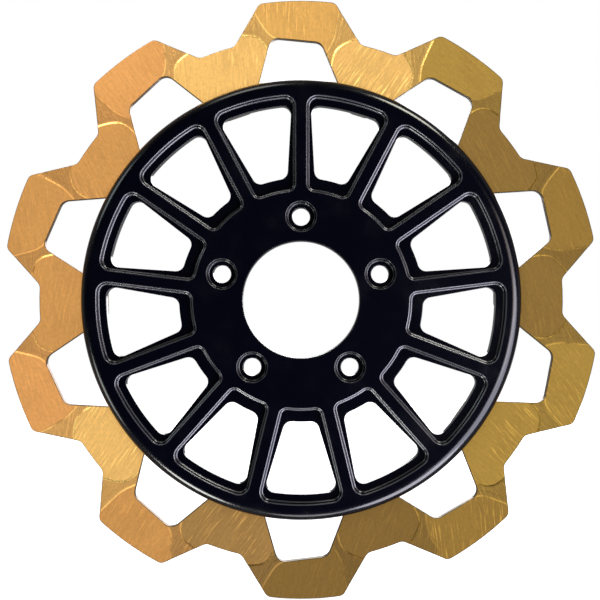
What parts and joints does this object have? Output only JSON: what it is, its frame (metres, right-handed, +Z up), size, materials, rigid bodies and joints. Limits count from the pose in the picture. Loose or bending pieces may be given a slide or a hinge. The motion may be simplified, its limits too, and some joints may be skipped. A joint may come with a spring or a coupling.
{
  "type": "brake disc rotor",
  "caption": "Two-piece motorcycle brake disc rotor: a black spoked carrier with a bolt circle in its hub, and a lobed gold brake ring that floats on drive bushes behind the rim.",
  "frame": {"origin": "centre of the hub bore, in the plane where the carrier's back meets the ring, 0.5 mm in front of the hub pad's face", "axes": "+Y along the wheel's axle from the outer face towards the wheel hub, so the face that is seen looks to -Y; +Z up through the top spoke and one hub bolt hole; +X to the right as seen from the outer side"},
  "size_m": [0.2948, 0.019, 0.3],
  "materials": {
    "carrier_black": "satin to gloss black coating over machined aluminium",
    "ring_gold": "gold coated stainless steel, ground faces",
    "bush_steel": "turned stainless steel",
    "spring_steel": "blued spring steel strip",
    "washer_steel": "bright zinc plate",
    "screw_black": "black oxide"
  },
  "bodies": {
    "carrier": {"carrier": "carrier_black", "drive_bush_01": "bush_steel", "drive_bush_02": "bush_steel", "drive_bush_03": "bush_steel", "drive_bush_04": "bush_steel", "drive_bush_05": "bush_steel", "drive_bush_06": "bush_steel", "drive_bush_07": "bush_steel", "drive_bush_08": "bush_steel", "drive_bush_09": "bush_steel", "drive_bush_10": "bush_steel", "retaining_washer_01": "washer_steel", "retaining_washer_02": "washer_steel", "retaining_washer_03": "washer_steel", "retaining_washer_04": "washer_steel", "retaining_washer_05": "washer_steel", "retaining_washer_06": "washer_steel", "retaining_washer_07": "washer_steel", "retaining_washer_08": "washer_steel", "retaining_washer_09": "washer_steel", "retaining_washer_10": "washer_steel", "ring_screws": "screw_black"},
    "wave_washers": {"wave_washer_01": "spring_steel", "wave_washer_02": "spring_steel", "wave_washer_03": "spring_steel", "wave_washer_04": "spring_steel", "wave_washer_05": "spring_steel", "wave_washer_06": "spring_steel", "wave_washer_07": "spring_steel", "wave_washer_08": "spring_steel", "wave_washer_09": "spring_steel", "wave_washer_10": "spring_steel"},
    "ring": {"brake_ring": "ring_gold"}
  },
  "joints": [
    {"name": "ring_float", "type": "slide", "parent": "carrier", "child": "wave_washers", "axis": [0, 1, 0], "range_m": [0, 0.0004], "stiffness_N_per_m": 40000, "springref_m": -0.0005, "deforming": ["wave_washer_01", "wave_washer_02", "wave_washer_03", "wave_washer_04", "wave_washer_05", "wave_washer_06", "wave_washer_07", "wave_washer_08", "wave_washer_09", "wave_washer_10"]},
    {"name": "ring_play", "type": "hinge", "parent": "wave_washers", "child": "ring", "pos_m": [0, 0, 0], "axis": [0, 1, 0], "range_deg": [-0.1, 0.1]}
  ]
}
